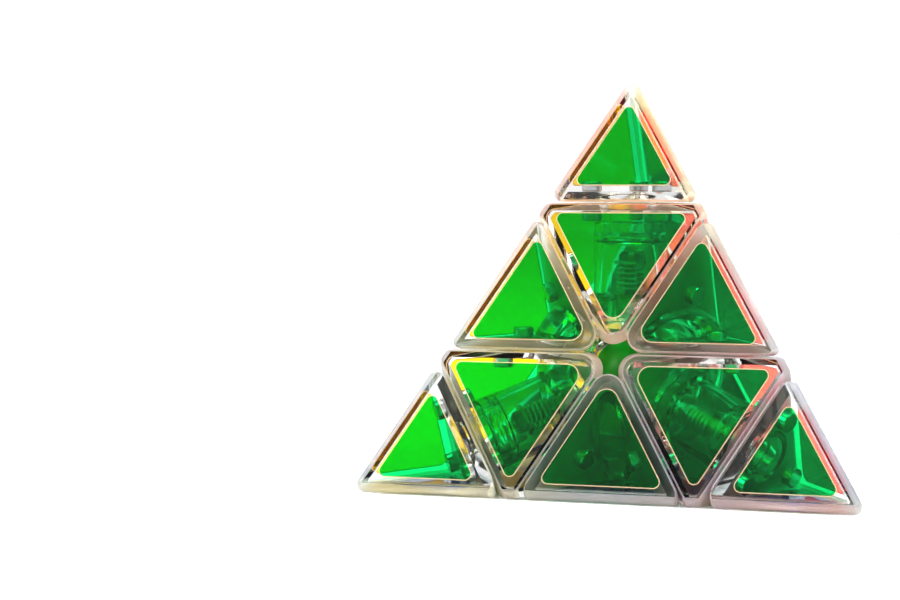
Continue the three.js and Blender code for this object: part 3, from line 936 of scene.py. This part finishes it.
magnet_group, start, end = node_group(
    "magnets_on_points", [("Magnet", "NodeSocketObject"), ("Finish", "NodeSocketMaterial")]
)
shape = add_node(magnet_group, "GeometryNodeObjectInfo", links={"Object": start.outputs["Magnet"]})
way = add_node(
    magnet_group, "GeometryNodeInputNamedAttribute", {"Name": "way"}, data_type="FLOAT_VECTOR"
)
turn = add_node(
    magnet_group, "FunctionNodeAlignRotationToVector", links={"Vector": way.outputs["Attribute"]},
    axis="Z",
)
placed = add_node(
    magnet_group, "GeometryNodeInstanceOnPoints",
    links={
        "Points": start.outputs["Geometry"], "Instance": shape.outputs["Geometry"],
        "Rotation": turn.outputs["Rotation"],
    },
)
solid = add_node(
    magnet_group, "GeometryNodeRealizeInstances", links={"Geometry": placed.outputs["Instances"]}
)
coated = add_node(
    magnet_group, "GeometryNodeSetMaterial",
    links={"Geometry": solid.outputs["Geometry"], "Material": start.outputs["Finish"]},
)
magnet_group.links.new(coated.outputs["Geometry"], end.inputs["Geometry"])


def at_levels(levels):
    """The point at given distances along three axes. All four distances add up to nothing."""
    missing = next(tip for tip in TIPS if tip not in levels)
    levels = {**levels, missing: -sum(levels.values())}
    return sum((AXES[tip] * level * 3 / 4 for tip, level in levels.items()), Vector())


def add_magnets(body, spots):
    """One mesh with a body's magnets. Each spot is a place and the way the disc's axis points."""
    mesh = bpy.data.meshes.new("spots")
    mesh.from_pydata([tuple(place) for place, way in spots], [], [])
    ways = mesh.attributes.new("way", "FLOAT_VECTOR", "POINT")
    for value, (place, way) in zip(ways.data, spots):
        value.vector = way
    points = bpy.data.objects.new("spots", mesh)
    scene.collection.objects.link(points)
    mesh = grown(points, magnet_group, {"Magnet": disc, "Finish": magnet_nickel}, f"magnets_{body}")
    magnets = placed_piece(f"magnets_{body}", mesh, Matrix.Identity(3))
    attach(magnets, body)


def side_magnet(across, others, gap):
    """A magnet beside the cut of the layer across it, equally deep under the faces of two others."""
    depth = -FACE_DISTANCE + SIDE_MAGNET_DEPTH
    return at_levels({across: LAYER_PLANE + gap, **{tip: depth for tip in others}}), AXES[across]


for tip in TIPS:
    rest = [other for other in TIPS if other != tip]
    outwards = [(AXES[other] + AXES[tip] / 3).normalized() * TIP_MAGNET_REACH for other in rest]
    above = AXES[tip] * (TIP_PLANE + TIP_MAGNET_LIFT)
    below = AXES[tip] * (TIP_PLANE - AXIAL_MAGNET_DROP)
    add_magnets(f"tip_{tip}", [(above + outward, AXES[tip]) for outward in outwards])
    spots = [(below + outward, AXES[tip]) for outward in outwards]
    for other in rest:
        sides = [third for third in rest if third != other]
        spots.append(side_magnet(other, sides, -SIDE_MAGNET_GAP))
    add_magnets(f"axial_{tip}", spots)
for a, b in EDGE_NAMES:
    sides = [third for third in TIPS if third not in (a, b)]
    add_magnets(f"edge_{a}_{b}", [side_magnet(across, sides, SIDE_MAGNET_GAP) for across in (b, a)])
bpy.data.objects.remove(disc)

# ---------------------------------------------------------------- colour films
# Thin dyed polyester films, one on each outer triangle of each piece, die cut with round corners
# and bonded to the shell. The cut edge catches the light and shows as a fine pale line.

# The film's outer side lies just inside the shell's face, so that light in the plastic beside the
# film takes up its colour, as it does under a bonded film
FILM_THICK = 0.1
FILM_SUNK = FILM_THICK + 0.02
FILM_EDGE = 0.2
FILM_BEVEL = 0.04
FROM_GROOVE = 2.3
FROM_TIP_GROOVE = 2.0
FROM_RIDGE = 3.45
TIP_FILM_LIFT = 3.6
FILM_CORNER = 1.3
FILM_CENTRE_CORNER = 2.4
FILM_EDGE_COLOUR = "#FFE0B4"


def film_plastic(name, colour):
    """A clear polyester film with dye in it: it tints what is behind it and shines like the shell
    that it is bonded to. A bonded film mirrors nothing of its own, so its IOR is set near 1."""
    made, tree, output = material(f"pet_film_{name}_dyed")
    place = add_node(tree, "ShaderNodeTexCoord")
    waves = add_node(
        tree, "ShaderNodeTexNoise", {"Scale": 1 / (7 * MM), "Detail": 1.0},
        {"Vector": place.outputs["Object"]},
    )
    dent = add_node(
        tree, "ShaderNodeBump", {"Strength": 0.08, "Distance": 0.05 * MM}, {"Height": waves.outputs["Fac"]}
    )
    shader = add_node(
        tree, "ShaderNodeBsdfPrincipled",
        {"Base Color": linear(colour), "Roughness": 0.02, "IOR": 1.02, "Transmission Weight": 0.96},
        {"Normal": dent.outputs["Normal"]},
    )
    tree.links.new(shader.outputs["BSDF"], output.inputs["Surface"])
    return made


film_finish = {name: film_plastic(name, colour) for name, colour in FILM_COLOURS.items()}

# The film where the die has cut it: it scatters the light and looks pale
film_edge, tree, output = material("pet_film_cut_edge")
shader = add_node(
    tree, "ShaderNodeBsdfPrincipled",
    {"Base Color": linear(FILM_EDGE_COLOUR), "Roughness": 0.3, "IOR": 1.3, "Transmission Weight": 0.2},
)
tree.links.new(shader.outputs["BSDF"], output.inputs["Surface"])


def rounded_triangle(lines, radii, steps=8):
    """Points round a triangle. Each line is (direction to its outside, distance), in turn, and each
    corner, between a line and the next, has its own radius."""
    points = []
    for i, radius in enumerate(radii):
        (out1, far1), (out2, far2) = lines[i], lines[(i + 1) % 3]
        across = out1.x * out2.y - out1.y * out2.x
        reach1, reach2 = far1 - radius, far2 - radius
        centre = Vector((reach1 * out2.y - reach2 * out1.y, reach2 * out1.x - reach1 * out2.x)) / across
        turn = math.atan2(across, out1.dot(out2))
        for k in range(steps + 1):
            angle = turn * k / steps
            along, aside = math.cos(angle), math.sin(angle)
            out = Vector((out1.x * along - out1.y * aside, out1.x * aside + out1.y * along))
            points.append(centre + radius * out)
    return points


def film_mesh(outline, inner, name):
    """A plate between the outline and its inset copy, with the rim as its second material."""
    bm = bmesh.new()
    rings = []
    for points, height in ((outline, 0), (outline, FILM_THICK - FILM_BEVEL), (inner, FILM_THICK)):
        rings.append([bm.verts.new((p.x, p.y, height)) for p in points])
    count = len(outline)
    for low, high in ((rings[0], rings[1]), (rings[1], rings[2])):
        for i in range(count):
            j = (i + 1) % count
            bm.faces.new((low[i], low[j], high[j], high[i])).material_index = 1
    bm.faces.new(rings[2])
    bm.faces.new(rings[0][::-1])
    bmesh.ops.recalc_face_normals(bm, faces=bm.faces[:])
    mesh = bpy.data.meshes.new(name)
    bm.to_mesh(mesh)
    bm.free()
    return mesh


# Directions in a face's plane, with +Y towards the tip that the film belongs to
UP = Vector((0, 1))
LOWER_LEFT = Vector((-math.sqrt(3) / 2, -0.5))
LOWER_RIGHT = Vector((math.sqrt(3) / 2, -0.5))
SLOPE = 2 * math.sqrt(2) / 3
TO_RIDGE = HEIGHT / 3 / SLOPE
TO_TIP_GROOVE = (TIP_PLANE - LAYER_PLANE) / SLOPE


def film_outline(kind, inset):
    """A film's outline. Its lines run round it in turn, each with its outward direction and how far
    it lies from the face's centre."""
    if kind == "tip":
        lines = [
            (-UP, -TO_TIP_GROOVE - TIP_FILM_LIFT), (-LOWER_LEFT, TO_RIDGE - FROM_RIDGE),
            (-LOWER_RIGHT, TO_RIDGE - FROM_RIDGE),
        ]
        radii = [FILM_CORNER] * 3
    elif kind == "axial":
        lines = [
            (UP, TO_TIP_GROOVE - FROM_TIP_GROOVE), (LOWER_LEFT, -FROM_GROOVE), (LOWER_RIGHT, -FROM_GROOVE),
        ]
        radii = [FILM_CORNER, FILM_CENTRE_CORNER, FILM_CORNER]
    else:
        lines = [
            (-UP, TO_RIDGE - FROM_RIDGE), (-LOWER_LEFT, -FROM_GROOVE), (-LOWER_RIGHT, -FROM_GROOVE),
        ]
        radii = [FILM_CORNER, FILM_CENTRE_CORNER, FILM_CORNER]
    lines = [(direction, distance - inset) for direction, distance in lines]
    return rounded_triangle(lines, [radius - inset for radius in radii])


film_meshes = {
    kind: film_mesh(film_outline(kind, 0), film_outline(kind, FILM_EDGE), f"film_{kind}")
    for kind in ("tip", "axial", "edge")
}


def add_film(kind, opposite, towards, name, body):
    """Puts a film on the face opposite one tip, turned so that its +Y points towards another."""
    out = -AXES[opposite]
    colour = FACE_COLOURS[opposite]
    turn = turned(out, along_y=towards)
    mesh = film_meshes[kind].copy()
    mesh.transform(Matrix.Translation((0, 0, FACE_DISTANCE - FILM_SUNK)))
    film = placed_piece(f"film_{colour}_{name}", mesh, turn, [film_finish[colour], film_edge])
    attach(film, body)


for opposite in TIPS:
    for tip in TIPS:
        if tip != opposite:
            add_film("tip", opposite, AXES[tip], f"tip_{tip}", f"tip_{tip}")
            add_film("axial", opposite, AXES[tip], f"axial_{tip}", f"axial_{tip}")
    for a, b in EDGE_NAMES:
        if opposite not in (a, b):
            third = next(tip for tip in TIPS if tip not in (a, b, opposite))
            add_film("edge", opposite, AXES[third], f"edge_{a}_{b}", f"edge_{a}_{b}")
